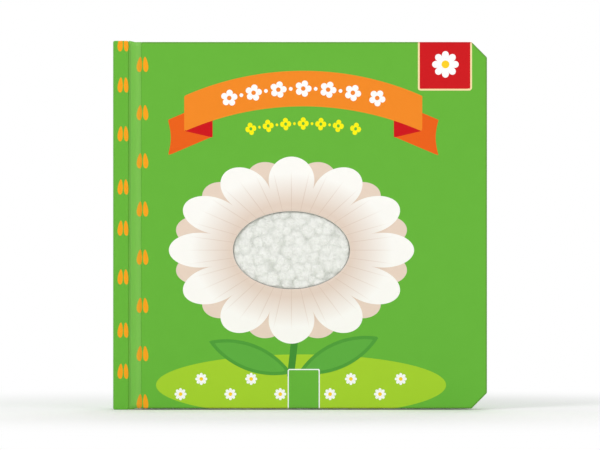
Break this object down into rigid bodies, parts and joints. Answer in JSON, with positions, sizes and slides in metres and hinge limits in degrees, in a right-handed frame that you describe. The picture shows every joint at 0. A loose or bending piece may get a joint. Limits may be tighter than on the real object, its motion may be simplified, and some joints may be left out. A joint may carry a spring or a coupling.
{
  "type": "board book",
  "caption": "Touch-and-feel board book in a hard case, with swinging covers, an oval fleece window, a grooved spine and cut fore-edge corners.",
  "frame": {"origin": "middle of the footprint, on the surface the book stands on", "axes": "+X from the spine to the fore-edge, +Y from the front cover to the back cover, +Z from tail to head"},
  "size_m": [0.18, 0.0172, 0.1776],
  "materials": {
    "leaves": "white board with a satin film",
    "spine_paper": "printed, satin film",
    "cover_paper": "printed, satin film",
    "greyboard": "bare greyboard",
    "fleece": "curly fleece",
    "liner_paper": "white paper, satin film"
  },
  "bodies": {
    "block": {"page_block": "leaves", "spine_wrap": "spine_paper", "spine_board": "greyboard", "front_binding_strip": "greyboard", "back_binding_strip": "greyboard"},
    "front_strip": {"front_hinge": "spine_paper"},
    "front_cover": {"front_wrap": "cover_paper", "front_board": "greyboard", "fleece_patch": "fleece", "front_liner": "liner_paper"},
    "back_strip": {"back_hinge": "spine_paper"},
    "back_cover": {"back_wrap": "cover_paper", "back_board": "greyboard", "back_liner": "liner_paper"}
  },
  "joints": [
    {"name": "front_groove", "type": "hinge", "parent": "block", "child": "front_strip", "pos_m": [-0.0821, -0.0062, 0.0888], "axis": [0, 0, -1], "range_deg": [0, 90]},
    {"name": "front_fold", "type": "hinge", "parent": "front_strip", "child": "front_cover", "pos_m": [-0.0767, -0.0062, 0.0888], "axis": [0, 0, -1], "range_deg": [0, 90]},
    {"name": "back_groove", "type": "hinge", "parent": "block", "child": "back_strip", "pos_m": [-0.0821, 0.0062, 0.0888], "axis": [0, 0, 1], "range_deg": [0, 90]},
    {"name": "back_fold", "type": "hinge", "parent": "back_strip", "child": "back_cover", "pos_m": [-0.0767, 0.0062, 0.0888], "axis": [0, 0, 1], "range_deg": [0, 90]}
  ],
  "couplings": [
    {"joint": "front_fold", "follows": "front_groove", "ratio": 1},
    {"joint": "back_fold", "follows": "back_groove", "ratio": 1}
  ]
}
